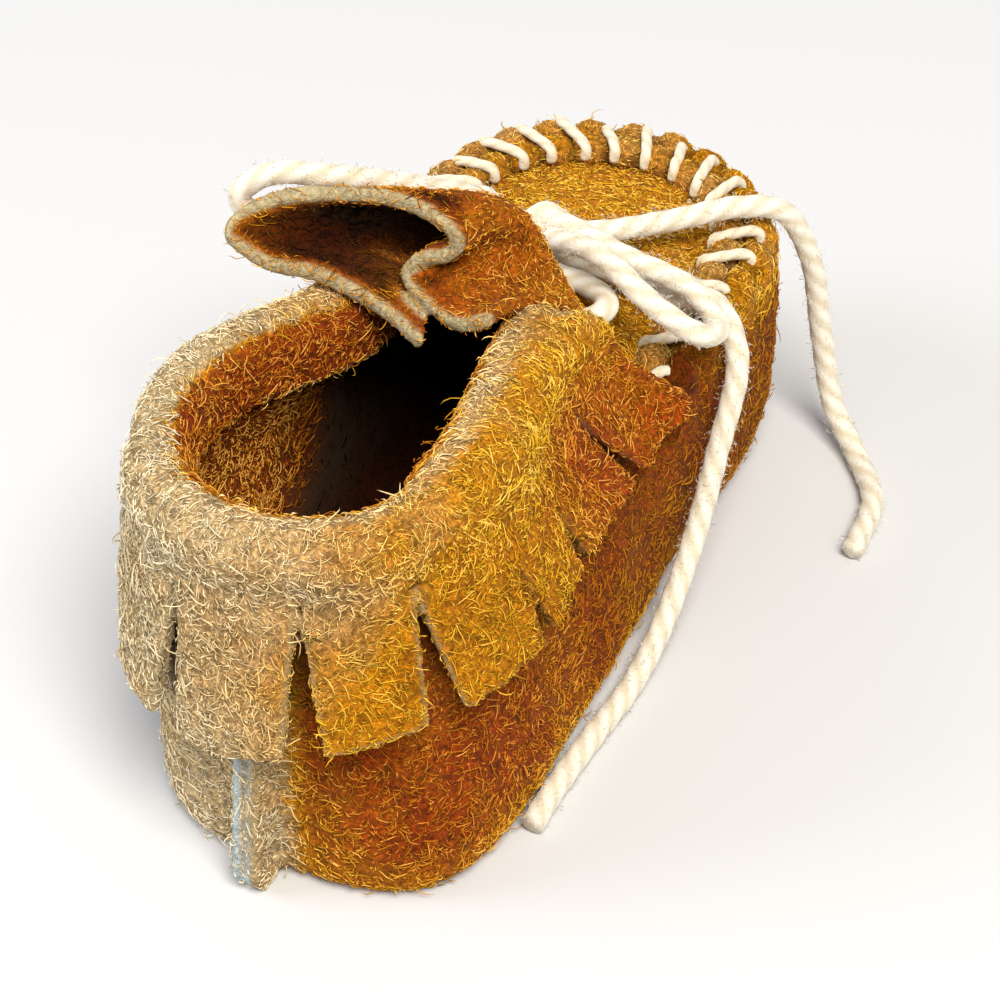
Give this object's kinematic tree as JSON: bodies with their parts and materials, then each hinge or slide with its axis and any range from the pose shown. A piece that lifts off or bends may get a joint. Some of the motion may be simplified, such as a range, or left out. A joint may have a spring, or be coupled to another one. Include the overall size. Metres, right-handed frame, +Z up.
{
  "type": "moccasin bootie",
  "caption": "Small soft-soled suede moccasin bootie with a puckered toe, folded fringed cuff, wide curled tongue and a cotton cord lace tied in a bow.",
  "frame": {"origin": "on the floor under the middle of the leather pieces' box", "axes": "+Y towards the toe, +X to the shoe's right, +Z up"},
  "size_m": [0.0736, 0.117, 0.0583],
  "materials": {
    "suede": "napped split suede",
    "lace": "twisted cotton cord"
  },
  "bodies": {
    "root": {"moccasin_bottom": "suede", "vamp": "suede", "tongue": "suede", "cuff": "suede", "lace_run": "lace", "lace_knot": "lace", "lace_loop_right": "lace", "lace_loop_left": "lace", "lace_end_front": "lace", "lace_end_side": "lace"}
  },
  "joints": []
}
